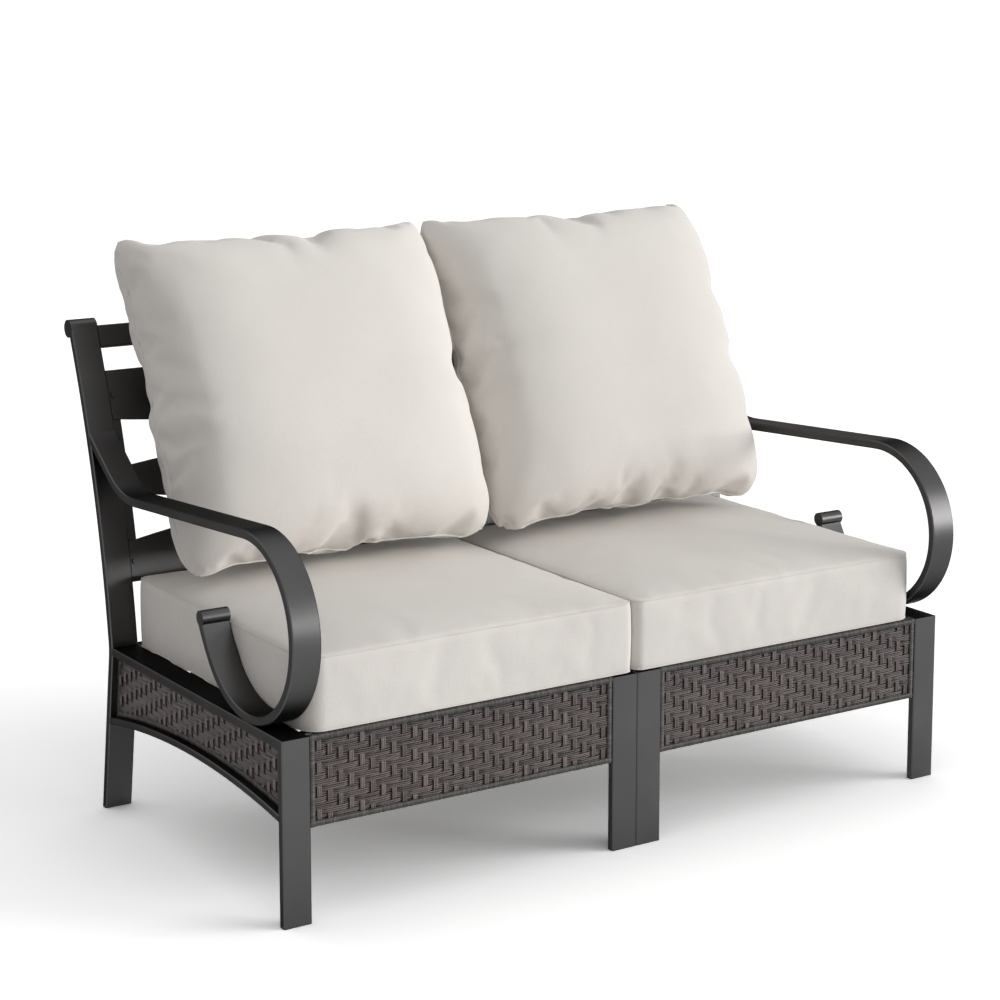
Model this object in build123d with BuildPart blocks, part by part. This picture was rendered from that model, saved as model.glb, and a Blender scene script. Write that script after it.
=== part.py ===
from build123d import *
from math import asin, cos, hypot, radians, sin, sqrt, tan
import os

os.makedirs("parts", exist_ok=True)

# A patio loveseat of two mirrored seats that stand side by side. Millimetres, +Z up, +Y to the
# back, +X to the right of someone who faces it. The origin is on the floor under its middle.
# Each piece is made once, for the left seat at x = -module_width to 0, and mirrored.

# Driving sizes of the whole
module_width = 680
frame_depth = 838
frame_height = 867
seat_height = 305

# Flat steel tube of the legs, stiles, side rails and arms
tube_width = 50
tube_thickness = 15
tube_wall = 1.5
tube_corner = 1.8
roll_proud = 0.5
roll_run = 16

# Scrolled arm: a circle that stands on the side rail, a tail and a long top that bends up
scroll_radius = 156
scroll_setback = 115
tail_radius = 160
tail_angle = 52
tip_radius = 350
tip_angle = 9.5
arm_fall_angle = 3.6
arm_rise_angle = 35.5
arm_bend_radius = 150
arm_joint_rise = 55
arm_roll_diameter = 25

# Rear stile: splayed leg, knee just above the seat, then one long backward bow
stile_splay = 8.4
stile_lean_low = 6.5
stile_lean_top = 22
knee_rise = 8
knee_radius = 110
stile_roll_diameter = 32

# Lower side rail, arched between the front leg and the stile
arch_thickness = 12
arch_front_height = 177
arch_crown_height = 200
arch_rear_height = 167

# Back: a straight top rail and three bowed slats on two side strips, down from the top
back_rail_drop = 14
back_rail_height = 37
upper_slat_height = 83
middle_slat_height = 42
lower_slat_height = 70
slat_plate = 3
strip_width = 16
strip_thickness = 10
slat_recess = 1.5

# Gaps under the top rail, the upper slat and the middle slat, as shares of the height that the
# slats leave free, and the slats' bows as shares of the gaps that they bow into
slat_gap_shares = (0.127, 0.259, 0.272)
upper_slat_bow_share = 0.207
middle_slat_top_bow_share = 0.244
middle_slat_bottom_bow_share = 0.372
lower_slat_bow_share = 0.326

# Button heads of the bolts that hold the slats to the strips
bolt_head_diameter = 11
bolt_head_height = 3
bolt_head_sides = 12

# Seat frame: front and rear rails and the slats that carry the cushion
front_rail_depth = 20
rear_rail_height = 40
seat_slat_count = 4
seat_slat_width = 50
seat_slat_thickness = 10

# Woven panels under the seat
apron_bottom = 156
apron_recess = 1.5
apron_border = 13
apron_panel = 6
apron_round = 5
side_panel_recess = 12
side_panel_thickness = 10

# Plastic foot glides and the clips that tie the two seats together
glide_flange = 3
glide_plug_height = 14
glide_play = 0.2
clip_plate = 3
clip_length = 30
clip_lip = 12

# Boxed seat cushion
seat_cushion_height = 126
seat_cushion_gap = 9
seat_cushion_back_gap = 0.4
seat_cushion_crown = 10
seat_cushion_setback = 12
seat_cushion_side_bulge = 3
seat_cushion_edge = 9
seat_cushion_end_round = 9
seat_cushion_tuck = 5
seat_cushion_section_shares = (-1, -0.5, 0, 0.5, 1)
seat_cushion_turn_shares = (0, 0.5, 1)
soft_clearance = 0.3

# Plump back pillow that leans on the back
pillow_height = 612
pillow_gap = 4
pillow_arm_gap = 2
pillow_front_bulge = 125
pillow_back_bulge = 108
pillow_lean = 26
pillow_rest_gap = 0.6
pillow_side_draw = 5
pillow_ear_round = 14

# Profile of the pillow from its seam to where its crown starts, as shares of half its height
# or width and of its bulge
pillow_edge_shares = ((1, 0), (0.96, 0.4), (0.82, 0.8))

# Places that several pieces share
overrun = 5
front = -frame_depth / 2 + scroll_radius - scroll_setback
back = frame_depth / 2
leg_back = front + tube_thickness
outer_edge = -module_width
outer_mid = outer_edge + tube_width / 2
inner_mid = -tube_width / 2
side_frames = {"outer": outer_mid, "inner": inner_mid}
bay_left = outer_edge + tube_width
bay_right = -tube_width
bay_width = bay_right - bay_left
bay_mid = (bay_left + bay_right) / 2
rail_bottom = seat_height - tube_thickness


def save(piece, name):
    """Write a piece of the left seat and its mirror image, the same piece of the right seat."""
    for side, solid in (("left", piece.part), ("right", mirror(piece.part, about=Plane.YZ))):
        solid.label = side + "_" + name
        export_step(solid, "parts/" + solid.label + ".step")


def flat_bar(width, thickness):
    """Draw a flat section whose corners are eased."""
    x, y = width / 2, thickness / 2
    ease_x, ease_y = x - tube_corner, y - tube_corner
    Polygon(
        (-ease_x, -y),
        (ease_x, -y),
        (x, -ease_y),
        (x, ease_y),
        (ease_x, y),
        (-ease_x, y),
        (-x, ease_y),
        (-x, -ease_y),
        align=None,
    )


def flat_tube(width, thickness):
    """Draw the hollow section of a flat tube."""
    flat_bar(width, thickness)
    Rectangle(width - 2 * tube_wall, thickness - 2 * tube_wall, mode=Mode.SUBTRACT)


# The stile's centre line, from its top down: a short straight, the bow, the knee and the splay
roll_radius = stile_roll_diameter / 2
lean_top = radians(stile_lean_top)
lean_low = radians(stile_lean_low)
splay = radians(stile_splay)
roll_y = back - roll_radius
roll_z = frame_height - roll_radius
roll_step = roll_radius - roll_proud - tube_thickness / 2
stile_end_y = roll_y - roll_step * cos(lean_top)
stile_end_z = roll_z + roll_step * sin(lean_top)
stile_top_y = stile_end_y - roll_run * sin(lean_top)
stile_top_z = stile_end_z - roll_run * cos(lean_top)
knee_top_z = seat_height + knee_rise
bow_radius = (stile_top_z - knee_top_z) / (sin(lean_top) - sin(lean_low))
bow_centre_y = stile_top_y + bow_radius * cos(lean_top)
bow_centre_z = knee_top_z - bow_radius * sin(lean_low)
knee_top_y = bow_centre_y - bow_radius * cos(lean_low)
knee_foot_y = knee_top_y - knee_radius * (cos(splay) - cos(lean_low))
knee_foot_z = knee_top_z - knee_radius * (sin(lean_low) + sin(splay))
foot_y = knee_foot_y + knee_foot_z * tan(splay)


def bow_lean(height):
    """Angle of the stile from upright at a height on its bow."""
    return asin((height - bow_centre_z) / bow_radius)


def bow_y(height):
    """Where the stile's centre line stands at a height on its bow."""
    return bow_centre_y - bow_radius * cos(bow_lean(height))


def back_plane(height, proud=0):
    """Plane on the back at a height: x across the bay, y up the slope, its normal to the front."""
    lean = bow_lean(height)
    return Plane(
        origin=(bay_mid, bow_y(height) - proud * cos(lean), height + proud * sin(lean)),
        x_dir=(1, 0, 0),
        z_dir=(0, -cos(lean), sin(lean)),
    )


def draw_stile_line():
    """Draw the stile's centre line from its top roll to the floor."""
    Line((stile_end_y, stile_end_z), (stile_top_y, stile_top_z))
    bow = JernArc(
        start=(stile_top_y, stile_top_z),
        tangent=(-sin(lean_top), -cos(lean_top)),
        radius=bow_radius,
        arc_size=stile_lean_top - stile_lean_low,
    )
    knee = JernArc(start=bow @ 1, tangent=bow % 1, radius=knee_radius, arc_size=stile_lean_low + stile_splay)
    Line(knee @ 1, (foot_y + overrun * tan(splay), -overrun))


def top_section(x):
    """Plane across the stile's top end, looking down its centre line."""
    return Plane(
        origin=(x, stile_end_y, stile_end_z), x_dir=(1, 0, 0), z_dir=(0, -sin(lean_top), -cos(lean_top))
    )


# The room that the outer and inner stiles fill, which the pieces that meet them are cut to
with BuildPart() as stile_room:
    with BuildLine(Plane.YZ.offset(outer_mid)) as stile_line:
        draw_stile_line()
    with BuildSketch(top_section(outer_mid)):
        Rectangle(tube_width + 2 * overrun, tube_thickness)
    sweep(path=stile_line.wires()[0])
stile_rooms = {"outer": stile_room.part, "inner": Pos(X=inner_mid - outer_mid) * stile_room.part}

# Rear stiles, with their ends hollowed for the top rolls and cut level on the foot glides
for place, mid in side_frames.items():
    with BuildPart() as stile:
        with BuildLine(Plane.YZ.offset(mid)) as line:
            draw_stile_line()
        with BuildSketch(top_section(mid)):
            flat_tube(tube_width, tube_thickness)
        sweep(path=line.wires()[0])
        with BuildSketch(Plane.YZ.offset(mid - tube_width)):
            with Locations((roll_y, roll_z)):
                Circle(roll_radius)
        extrude(amount=2 * tube_width, mode=Mode.SUBTRACT)
        split(bisect_by=Plane.XY.offset(glide_flange), keep=Keep.TOP)
    save(stile, place + "_rear_stile")

# Round bars that close the tops of the two stiles
with BuildPart() as top_rolls:
    for mid in side_frames.values():
        with BuildSketch(Plane.YZ.offset(mid - tube_width / 2)):
            with Locations((roll_y, roll_z)):
                Circle(roll_radius)
        extrude(amount=tube_width)
save(top_rolls, "stile_top_rolls")

# Front legs, mitred at the top against the side rails
mitre = Plane(origin=(0, front, seat_height), x_dir=(1, 0, 0), z_dir=(0, 1, 1))
for place, mid in side_frames.items():
    with BuildPart() as leg:
        with BuildSketch(Plane.XY.offset(glide_flange)):
            with Locations((mid, front + tube_thickness / 2)):
                flat_tube(tube_width, tube_thickness)
        extrude(amount=seat_height - glide_flange)
        split(bisect_by=mitre, keep=Keep.BOTTOM)
    save(leg, place + "_front_leg")

# Side rails, level from the mitre to the stile
for place, mid in side_frames.items():
    with BuildPart() as side_rail:
        with BuildSketch(Plane.XZ.offset(-front)):
            with Locations((mid, seat_height - tube_thickness / 2)):
                flat_tube(tube_width, tube_thickness)
        extrude(amount=knee_top_y - front, dir=(0, 1, 0))
        split(bisect_by=mitre, keep=Keep.TOP)
        add(stile_rooms[place], mode=Mode.SUBTRACT)
    save(side_rail, place + "_side_rail")

# Arched lower rails between the legs and the stiles
arch_start = (leg_back, arch_front_height)
arch_end = (knee_foot_y + (knee_foot_z - arch_rear_height) * tan(splay), arch_rear_height)
arch_crown = ((leg_back + knee_foot_y) / 2, arch_crown_height)
with BuildPart() as arch_room:
    with BuildLine(Plane.YZ.offset(outer_mid)) as arch_line:
        ThreePointArc(arch_start, arch_crown, arch_end)
    with BuildSketch(Plane(origin=arch_line.edges()[0] @ 0, x_dir=(1, 0, 0), z_dir=arch_line.edges()[0] % 0)):
        Rectangle(tube_width + 2 * overrun, arch_thickness)
    sweep(path=arch_line.edges()[0])
for place, mid in side_frames.items():
    with BuildPart() as arched_rail:
        with BuildLine(Plane.YZ.offset(mid)) as arch:
            ThreePointArc(arch_start, arch_crown, arch_end)
        arch_edge = arch.edges()[0]
        with BuildSketch(Plane(origin=arch_edge @ 0, x_dir=(1, 0, 0), z_dir=arch_edge % 0)):
            flat_tube(tube_width, arch_thickness)
        sweep(path=arch_edge)
        split(bisect_by=Plane.XZ.offset(-leg_back), keep=Keep.BOTTOM)
        add(stile_rooms[place], mode=Mode.SUBTRACT)
    save(arched_rail, place + "_arched_rail")

# Scrolled arm. Its line starts at the tip of the scroll and ends inside the stile
arm_mid_radius = scroll_radius - tube_thickness / 2
scroll_y = front + scroll_setback
scroll_z = seat_height + scroll_radius
tail_turn = radians(tail_angle)
tip_turn = radians(tail_angle + tip_angle)
fall = radians(arm_fall_angle)
rise = radians(arm_rise_angle)
tip_y = scroll_y + tail_radius * sin(tail_turn) + tip_radius * (sin(tip_turn) - sin(tail_turn))
tip_z = (
    scroll_z - arm_mid_radius
    + tail_radius * (1 - cos(tail_turn))
    + tip_radius * (cos(tail_turn) - cos(tip_turn))
)
level_y = scroll_y + arm_mid_radius * sin(fall)
level_z = scroll_z + arm_mid_radius * cos(fall)
arm_joint_height = seat_height + 2 * scroll_radius + arm_joint_rise
arm_end_y = bow_y(arm_joint_height)
elbow_drop = level_z - arm_joint_height + level_y * tan(fall) + arm_end_y * tan(rise)
elbow_y = elbow_drop / (tan(fall) + tan(rise))
elbow_z = level_z - (elbow_y - level_y) * tan(fall)
arm_roll_radius = arm_roll_diameter / 2
arm_roll_step = arm_roll_radius - roll_proud - tube_thickness / 2
arm_tip_y = tip_y + roll_run * cos(tip_turn)
arm_tip_z = tip_z + roll_run * sin(tip_turn)
arm_roll_y = arm_tip_y - arm_roll_step * sin(tip_turn)
arm_roll_z = arm_tip_z + arm_roll_step * cos(tip_turn)
with BuildPart() as arm:
    with BuildLine(Plane.YZ.offset(outer_mid)) as arm_line:
        Line((arm_tip_y, arm_tip_z), (tip_y, tip_z))
        tip = JernArc(
            start=(tip_y, tip_z),
            tangent=(-cos(tip_turn), -sin(tip_turn)),
            radius=tip_radius,
            arc_size=-tip_angle,
        )
        tail = JernArc(start=tip @ 1, tangent=tip % 1, radius=tail_radius, arc_size=-tail_angle)
        JernArc(
            start=tail @ 1, tangent=tail % 1, radius=arm_mid_radius, arc_size=-180 - arm_fall_angle
        )
        FilletPolyline(
            (level_y, level_z), (elbow_y, elbow_z), (arm_end_y, arm_joint_height), radius=arm_bend_radius
        )
    with BuildSketch(
        Plane(
            origin=(outer_mid, arm_tip_y, arm_tip_z),
            x_dir=(1, 0, 0),
            z_dir=(0, -cos(tip_turn), -sin(tip_turn)),
        )
    ):
        flat_tube(tube_width, tube_thickness)
    sweep(path=arm_line.wires()[0])
    with BuildSketch(Plane.YZ.offset(outer_mid - tube_width)):
        with Locations((arm_roll_y, arm_roll_z)):
            Circle(arm_roll_radius)
    extrude(amount=2 * tube_width, mode=Mode.SUBTRACT)
    add(stile_rooms["outer"], mode=Mode.SUBTRACT)
save(arm, "scroll_arm")

# Round bar that closes the tip of the scroll
with BuildPart() as arm_roll:
    with BuildSketch(Plane.YZ.offset(outer_edge)):
        with Locations((arm_roll_y, arm_roll_z)):
            Circle(arm_roll_radius)
    extrude(amount=tube_width)
save(arm_roll, "arm_tip_roll")

# Top rail of the back, flush between the stiles
back_rail_top = frame_height - back_rail_drop
back_rail_mid = back_rail_top - back_rail_height / 2
with BuildPart() as back_top_rail:
    rail_plane = back_plane(back_rail_mid)
    with BuildSketch(Plane(origin=rail_plane.origin, x_dir=rail_plane.y_dir, z_dir=(1, 0, 0))):
        flat_tube(back_rail_height / cos(bow_lean(back_rail_mid)), tube_thickness)
    extrude(amount=bay_width / 2, both=True)
save(back_top_rail, "back_top_rail")

# Heights of the slats' ends, down from the top rail, and how far each edge bows at its middle
slat_front = tube_thickness / 2 - slat_recess
strip_front = slat_front - slat_plate
slat_heights = upper_slat_height + middle_slat_height + lower_slat_height
slat_room = back_rail_top - back_rail_height - seat_height - slat_heights
back_rail_gap, upper_slat_gap, lower_slat_gap = [share * slat_room for share in slat_gap_shares]
upper_slat_bow = upper_slat_bow_share * upper_slat_gap
middle_slat_top_bow = middle_slat_top_bow_share * upper_slat_gap
middle_slat_bottom_bow = middle_slat_bottom_bow_share * lower_slat_gap
lower_slat_bow = lower_slat_bow_share * lower_slat_gap
upper_slat_top = back_rail_top - back_rail_height - back_rail_gap
middle_slat_top = upper_slat_top - upper_slat_height - upper_slat_gap
lower_slat_top = middle_slat_top - middle_slat_height - lower_slat_gap
lower_slat_bottom = lower_slat_top - lower_slat_height
slats = {
    "upper": (upper_slat_top, upper_slat_height, 0, upper_slat_bow),
    "middle": (middle_slat_top, middle_slat_height, middle_slat_top_bow, middle_slat_bottom_bow),
    "lower": (lower_slat_top, lower_slat_height, lower_slat_bow, 0),
}

# Slats: flat steel plates with bowed edges, fixed to the front of the strips
for place, (top, height, top_bow, foot_bow) in slats.items():
    middle = top - height / 2
    reach = height / 2 / cos(bow_lean(middle))
    wide = bay_width / 2
    with BuildPart() as slat:
        with BuildSketch(back_plane(middle, strip_front)):
            with BuildLine():
                Line((-wide, -reach), (-wide, reach))
                if top_bow:
                    ThreePointArc((-wide, reach), (0, reach + top_bow), (wide, reach))
                else:
                    Line((-wide, reach), (wide, reach))
                Line((wide, reach), (wide, -reach))
                if foot_bow:
                    ThreePointArc((wide, -reach), (0, -reach - foot_bow), (-wide, -reach))
                else:
                    Line((wide, -reach), (-wide, -reach))
            make_face()
        extrude(amount=slat_plate)
    save(slat, "back_slat_" + place)

# Side strips of the back, bowed with the stiles that they are welded to
strip_mid = strip_front - strip_thickness / 2
strip_heights = (lower_slat_bottom, (lower_slat_bottom + upper_slat_top) / 2, upper_slat_top)
strip_points = [back_plane(height, strip_mid).origin for height in strip_heights]
for place, mid in (
    ("outer", bay_left + strip_width / 2),
    ("inner", bay_right - strip_width / 2),
):
    with BuildPart() as strip:
        with BuildLine(Plane.YZ.offset(mid)) as strip_line:
            ThreePointArc(*[(point.Y, point.Z) for point in strip_points])
        strip_edge = strip_line.edges()[0]
        with BuildSketch(Plane(origin=strip_edge @ 0, x_dir=(1, 0, 0), z_dir=strip_edge % 0)):
            Rectangle(strip_width, strip_thickness)
        sweep(path=strip_edge)
    save(strip, place + "_back_strip")

# Button heads of the bolts, on the front of the slats
bolt_reach = (bay_width - strip_width) / 2
with BuildPart() as slat_bolts:
    for top, height, top_bow, foot_bow in slats.values():
        with BuildSketch(back_plane(top - height / 2, slat_front)):
            with Locations((-bolt_reach, 0), (bolt_reach, 0)):
                RegularPolygon(bolt_head_diameter / 2, side_count=bolt_head_sides)
        extrude(amount=bolt_head_height)
save(slat_bolts, "slat_bolts")

# Front and rear rails of the seat
seat_frame_front = leg_back + front_rail_depth
with BuildPart() as front_rail:
    with BuildSketch(Plane.YZ.offset(bay_left)):
        with Locations((leg_back + front_rail_depth / 2, seat_height - tube_thickness / 2)):
            flat_tube(front_rail_depth, tube_thickness)
    extrude(amount=bay_width)
save(front_rail, "front_seat_rail")

rear_rail_front = knee_foot_y - tube_thickness / 2
with BuildPart() as rear_rail:
    with BuildSketch(Plane.YZ.offset(bay_left)):
        with Locations((knee_foot_y, seat_height - rear_rail_height / 2)):
            flat_tube(tube_thickness, rear_rail_height)
    extrude(amount=bay_width)
save(rear_rail, "rear_seat_rail")

# Flat slats that carry the cushion, evenly spaced from the front rail to the rear rail
seat_slat_room = rear_rail_front - seat_frame_front - seat_slat_count * seat_slat_width
seat_slat_gap = seat_slat_room / (seat_slat_count + 1)
seat_slat_pitch = seat_slat_gap + seat_slat_width
for place in range(seat_slat_count):
    slat_mid = seat_frame_front + seat_slat_gap + seat_slat_width / 2 + place * seat_slat_pitch
    with BuildPart() as seat_slat:
        with BuildSketch(Plane.YZ.offset(bay_left)):
            with Locations((slat_mid, seat_height - seat_slat_thickness / 2)):
                flat_tube(seat_slat_width, seat_slat_thickness)
        extrude(amount=bay_width)
    save(seat_slat, "seat_slat_" + str(place + 1))

# Woven front apron: a wrapped border round a thinner woven panel
apron_height = seat_height - apron_bottom
apron_depth = tube_thickness - apron_recess
apron_mid_z = (seat_height + apron_bottom) / 2
with BuildPart() as apron:
    with BuildSketch(Plane.XZ.offset(-leg_back)):
        with Locations((bay_mid, apron_mid_z)):
            Rectangle(bay_width, apron_height)
            Rectangle(bay_width - 2 * apron_border, apron_height - 2 * apron_border, mode=Mode.SUBTRACT)
    extrude(amount=apron_depth)
    fillet(apron.faces().sort_by(Axis.Y)[0].edges(), radius=apron_round)
    with BuildSketch(Plane.XZ.offset(-leg_back + (apron_depth - apron_panel) / 2)):
        with Locations((bay_mid, apron_mid_z)):
            Rectangle(bay_width - 2 * apron_border, apron_height - 2 * apron_border)
    extrude(amount=apron_panel)
save(apron, "woven_apron")

# Woven side panel, set back between the side rail, the arched rail, the leg and the stile
with BuildPart() as side_panel:
    with BuildSketch(Plane.YZ.offset(outer_edge + side_panel_recess)):
        with BuildLine():
            ThreePointArc(arch_start, arch_crown, arch_end)
            Polyline(arch_end, (knee_foot_y, rail_bottom), (leg_back, rail_bottom), arch_start)
        make_face()
    extrude(amount=side_panel_thickness)
    add(arch_room.part, mode=Mode.SUBTRACT)
    add(stile_rooms["outer"], mode=Mode.SUBTRACT)
save(side_panel, "woven_side_panel")

# Foot glides: a flange under each leg and a plug inside it, splayed with the rear legs
with BuildPart() as foot_glides:
    for mid in side_frames.values():
        for ground_y, slant in ((front + tube_thickness / 2, 0), (foot_y, splay)):
            up = (0, -sin(slant), cos(slant))
            flange_y = ground_y - glide_flange * tan(slant)
            plug_width = tube_width - 2 * tube_wall - 2 * glide_play
            plug_depth = (tube_thickness - 2 * tube_wall - 2 * glide_play) / cos(slant)
            with BuildSketch(Plane.XY):
                with Locations((mid, ground_y)):
                    flat_bar(tube_width, tube_thickness / cos(slant))
            extrude(amount=glide_flange / cos(slant), dir=up)
            with BuildSketch(Plane.XY.offset(glide_flange)):
                with Locations((mid, flange_y)):
                    Rectangle(plug_width, plug_depth)
            extrude(amount=glide_plug_height / cos(slant), dir=up)
save(foot_glides, "foot_glides")

# Clips that hold the two seats side by side, each hooked under both inner side rails
clip_reach = tube_width + clip_plate
clip_bays = (seat_slat_count // 2 - 1, seat_slat_count - 1)
with BuildPart() as module_clips:
    for bay in clip_bays:
        clip_y = seat_frame_front + seat_slat_gap / 2 + bay * seat_slat_pitch
        with BuildSketch(Plane.XZ.offset(-clip_y - clip_length / 2)):
            with Locations((0, rail_bottom - clip_plate / 2)):
                Rectangle(2 * clip_reach, clip_plate)
            with Locations(
                (-clip_reach + clip_plate / 2, rail_bottom + clip_lip / 2),
                (clip_reach - clip_plate / 2, rail_bottom + clip_lip / 2),
            ):
                Rectangle(clip_plate, clip_lip)
        extrude(amount=clip_length)
module_clips.part.label = "seat_joining_clips"
export_step(module_clips.part, "parts/seat_joining_clips.step")

# Seat cushion: boxed, crowned on top, its front and back drawn in between the corners. It
# fills the seat from side frame to side frame and back to the stiles' knees
knee_face_y = knee_top_y - tube_thickness / 2 / cos(lean_low)
seat_cushion_depth = knee_face_y - seat_cushion_back_gap - front - seat_cushion_setback
cushion_half_x = (module_width - tube_width) / 2 - seat_cushion_gap
cushion_mid_x = -seat_cushion_gap - cushion_half_x
cushion_mid_y = front + seat_cushion_setback + seat_cushion_depth / 2
cushion_bottom = seat_height + soft_clearance
edge_arc = seat_cushion_edge * (1 - sqrt(1 / 2))


def cushion_section(share, inset):
    """Draw the outline across the depth, at a share of the half width and drawn in by an inset."""
    swell = 1 - share**2
    reach = seat_cushion_depth / 2 - seat_cushion_tuck * swell - inset
    side = reach + seat_cushion_side_bulge
    crown = seat_cushion_crown * swell + seat_cushion_side_bulge
    foot, top = inset, seat_cushion_height - inset
    middle = (foot + top) / 2
    edge = seat_cushion_edge
    with BuildLine() as outline:
        Line((edge - reach, foot), (reach - edge, foot))
        ThreePointArc((reach - edge, foot), (reach - edge_arc, foot + edge_arc), (reach, foot + edge))
        ThreePointArc((reach, foot + edge), (side, middle), (reach, top - edge))
        ThreePointArc((reach, top - edge), (reach - edge_arc, top - edge_arc), (reach - edge, top))
        ThreePointArc((reach - edge, top), (0, top + crown), (edge - reach, top))
        ThreePointArc((edge - reach, top), (edge_arc - reach, top - edge_arc), (-reach, top - edge))
        ThreePointArc((-reach, top - edge), (-side, middle), (-reach, foot + edge))
        ThreePointArc((-reach, foot + edge), (edge_arc - reach, foot + edge_arc), (edge - reach, foot))
    make_face(outline.edges())


# The crowned middle, then at each end a quarter turn into the flat end
middle_reach = cushion_half_x - seat_cushion_end_round
stretches = [[(share * middle_reach, 0) for share in seat_cushion_section_shares]]
for side in (-1, 1):
    stretches.append([])
    for share in seat_cushion_turn_shares:
        turn = radians(90) * share
        x = middle_reach + seat_cushion_end_round * sin(turn)
        stretches[-1].append((side * x, seat_cushion_end_round * (1 - cos(turn))))
with BuildPart() as seat_cushion:
    for stretch in stretches:
        for x, inset in stretch:
            section_origin = (cushion_mid_x + x, cushion_mid_y, cushion_bottom)
            with BuildSketch(Plane(origin=section_origin, x_dir=(0, 1, 0), z_dir=(1, 0, 0))):
                cushion_section(x / cushion_half_x, inset)
        loft(ruled=True)
save(seat_cushion, "seat_cushion")

# Back pillow: a crowned front and back that meet in a seam, with drawn-out corners
pillow_width = module_width - tube_width - pillow_gap - pillow_arm_gap
pillow_tilt = radians(pillow_lean)
pillow_upward = (0, sin(pillow_tilt), cos(pillow_tilt))
pillow_forward = (0, -cos(pillow_tilt), sin(pillow_tilt))


def pillow_arcs(half, bulge):
    """Arcs of one face of the pillow, from its seam over its crown to its seam."""
    seam, shoulder, start = [(half * along, bulge * out) for along, out in pillow_edge_shares]
    mirrored = [(-along, out) for along, out in (start, shoulder, seam)]
    corners = [(seam, shoulder, start), (start, (0, bulge), mirrored[0]), mirrored]
    return [Edge.make_three_point_arc(*corner) for corner in corners]


def from_pillow(point):
    """Turn a point of the pillow's profile into a step along Y and Z."""
    return [point.X * up + point.Y * ahead for up, ahead in zip(pillow_upward, pillow_forward)][1:]


def touching(first, first_reach, second, second_reach):
    """Find the point at two reaches from two centres, the one to the front of their line."""
    step_y, step_z = second[0] - first[0], second[1] - first[1]
    apart = hypot(step_y, step_z)
    along = (first_reach**2 - second_reach**2 + apart**2) / (2 * apart)
    aside = sqrt(first_reach**2 - along**2)
    return (
        first[0] + (along * step_y - aside * step_z) / apart,
        first[1] + (along * step_z + aside * step_y) / apart,
    )


# It lies where the arc of its foot just clears the cushion's crown and its back the top rail
rear_arcs = pillow_arcs(pillow_height / 2, -pillow_back_bulge)
foot_arc, back_arc = rear_arcs[2], rear_arcs[1]
foot_step, back_step = from_pillow(foot_arc.arc_center), from_pillow(back_arc.arc_center)
crown_rise = seat_cushion_crown + seat_cushion_side_bulge
crown_reach = seat_cushion_depth / 2 - seat_cushion_tuck - seat_cushion_edge
crown_radius = (crown_reach**2 + crown_rise**2) / (2 * crown_rise)
crown_centre_z = cushion_bottom + seat_cushion_height + crown_rise - crown_radius
pillow_y, pillow_z = touching(
    (cushion_mid_y - foot_step[0], crown_centre_z - foot_step[1]),
    crown_radius + foot_arc.radius + pillow_rest_gap,
    (bow_centre_y - back_step[0], bow_centre_z - back_step[1]),
    bow_radius + tube_thickness / 2 + back_arc.radius + pillow_rest_gap,
)
pillow_middle = (-pillow_gap - pillow_width / 2, pillow_y, pillow_z)


def draw_pillow_profile(half):
    """Draw a profile of the pillow, its front and its back."""
    for bulge in (pillow_front_bulge, -pillow_back_bulge):
        add(pillow_arcs(half, bulge))


with BuildPart() as back_pillow:
    with BuildSketch(Plane(origin=pillow_middle, x_dir=pillow_upward, z_dir=(1, 0, 0))):
        with BuildLine():
            draw_pillow_profile(pillow_height / 2)
        make_face()
    extrude(amount=pillow_width / 2, both=True)
    with BuildSketch(Plane(origin=pillow_middle, x_dir=(-1, 0, 0), z_dir=pillow_upward)):
        with BuildLine():
            draw_pillow_profile(pillow_width / 2)
        make_face()
    extrude(amount=pillow_height / 2, both=True, mode=Mode.INTERSECT)
    with BuildSketch(Plane(origin=pillow_middle, x_dir=(1, 0, 0), z_dir=pillow_forward)):
        with BuildLine():
            half_width, half_height = pillow_width / 2, pillow_height / 2
            for end in (1, -1):
                side = [(end * half_width, half_height), (end * half_width, -half_height)]
                ThreePointArc(side[0], (end * (half_width - pillow_side_draw), 0), side[1])
                rim = [(half_width, end * half_height), (-half_width, end * half_height)]
                ThreePointArc(rim[0], (0, end * (half_height - pillow_side_draw)), rim[1])
        make_face()
        fillet(vertices(), radius=pillow_ear_round)
    extrude(amount=pillow_front_bulge, both=True, mode=Mode.INTERSECT)
save(back_pillow, "back_pillow")
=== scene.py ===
import math
import random

import bpy
import numpy as np
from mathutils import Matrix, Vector, noise


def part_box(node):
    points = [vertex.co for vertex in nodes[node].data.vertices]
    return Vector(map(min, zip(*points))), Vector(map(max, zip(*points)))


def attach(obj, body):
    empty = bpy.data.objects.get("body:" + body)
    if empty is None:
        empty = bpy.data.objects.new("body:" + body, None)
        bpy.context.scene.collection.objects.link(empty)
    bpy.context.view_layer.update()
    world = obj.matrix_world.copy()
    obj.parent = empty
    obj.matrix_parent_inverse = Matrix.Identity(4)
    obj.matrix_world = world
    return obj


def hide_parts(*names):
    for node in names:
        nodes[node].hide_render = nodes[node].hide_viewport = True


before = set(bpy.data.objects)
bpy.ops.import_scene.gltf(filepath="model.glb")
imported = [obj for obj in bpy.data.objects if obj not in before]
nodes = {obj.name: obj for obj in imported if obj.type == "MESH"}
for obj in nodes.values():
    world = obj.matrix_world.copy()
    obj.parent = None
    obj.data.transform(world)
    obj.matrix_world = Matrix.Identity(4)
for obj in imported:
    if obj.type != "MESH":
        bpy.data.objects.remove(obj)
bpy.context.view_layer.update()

# Patio loveseat: two mirrored seats side by side. Metres, +Z up, +Y to the back, the origin on
# the floor under its middle. Each seat gets the same set of pieces, at mirrored places.
sides = {"left": -1, "right": 1}
X, Y, Z = Vector((1, 0, 0)), Vector((0, 1, 0)), Vector((0, 0, 1))

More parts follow.
